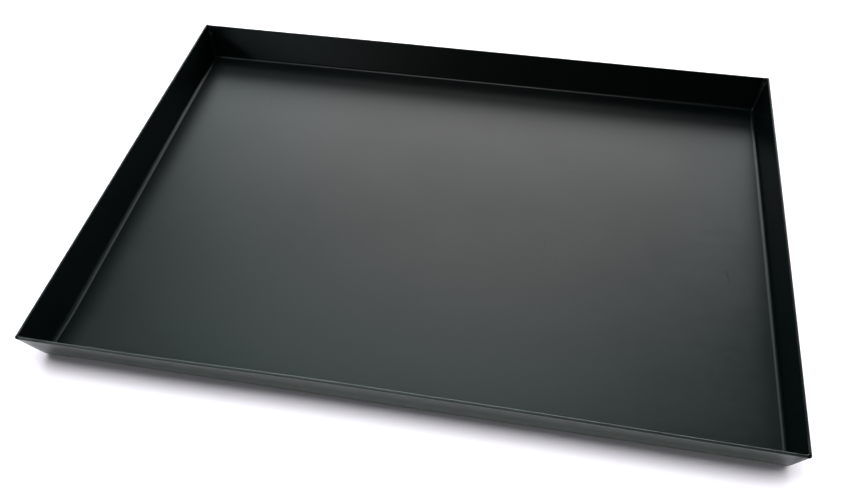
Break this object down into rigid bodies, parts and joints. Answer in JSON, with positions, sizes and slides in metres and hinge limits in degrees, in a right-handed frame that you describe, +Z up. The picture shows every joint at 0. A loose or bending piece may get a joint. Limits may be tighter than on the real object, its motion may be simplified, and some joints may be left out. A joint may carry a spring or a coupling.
{
  "type": "sheet steel tray",
  "caption": "Shallow rectangular tray folded from dark sheet steel, with flared walls and welded corners, for holding baked goods, parts or tools.",
  "frame": {"origin": "centre of the flat underside", "axes": "+X along the long side, +Y towards the rear wall, +Z up out of the tray"},
  "size_m": [0.3998, 0.2998, 0.023],
  "materials": {
    "blued_sheet": "blued (black-oxide) steel sheet, semi-gloss, slightly cool black",
    "blued_weld": "dressed weld metal under the same blued finish, a little duller"
  },
  "bodies": {
    "root": {"tray_pan": "blued_sheet", "corner_weld_front_left": "blued_weld", "corner_weld_front_right": "blued_weld", "corner_weld_rear_left": "blued_weld", "corner_weld_rear_right": "blued_weld"}
  },
  "joints": []
}
